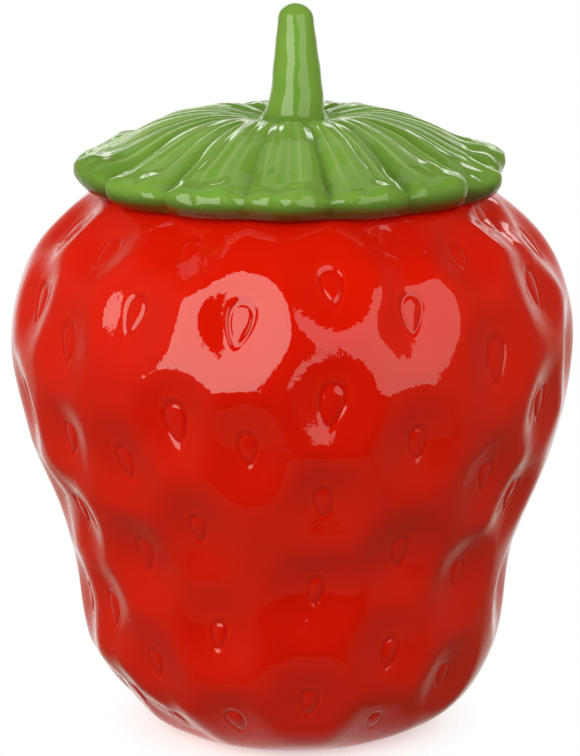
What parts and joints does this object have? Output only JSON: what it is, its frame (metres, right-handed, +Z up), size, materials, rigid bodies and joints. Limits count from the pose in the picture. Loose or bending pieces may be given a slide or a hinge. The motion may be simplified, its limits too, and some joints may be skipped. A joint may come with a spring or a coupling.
{
  "type": "ceramic storage jar",
  "caption": "Strawberry-shaped ceramic storage jar with a dimpled, seeded red body, a mouth that opens upwards and a lift-off green leaf lid with a stem knob and a seal.",
  "frame": {"origin": "middle of the foot, on the surface that the jar stands on", "axes": "+Z up along the jar's axis, -Y towards the front that the picture shows, +X to its right"},
  "size_m": [0.19, 0.1894, 0.2455],
  "materials": {
    "red_glaze": "glossy red glaze",
    "green_glaze": "glossy leaf green glaze, paler on the veins",
    "stem_glaze": "glossy leaf green glaze",
    "seal": "matte silicone"
  },
  "bodies": {
    "jar": {"jar_body": "red_glaze"},
    "lid": {"leaf_lid": "green_glaze", "stem_knob": "stem_glaze", "seal_ring": "seal"}
  },
  "joints": [
    {"name": "lid_lift", "type": "slide", "parent": "jar", "child": "lid", "axis": [0, 0, 1], "range_m": [0, 0.2]}
  ]
}
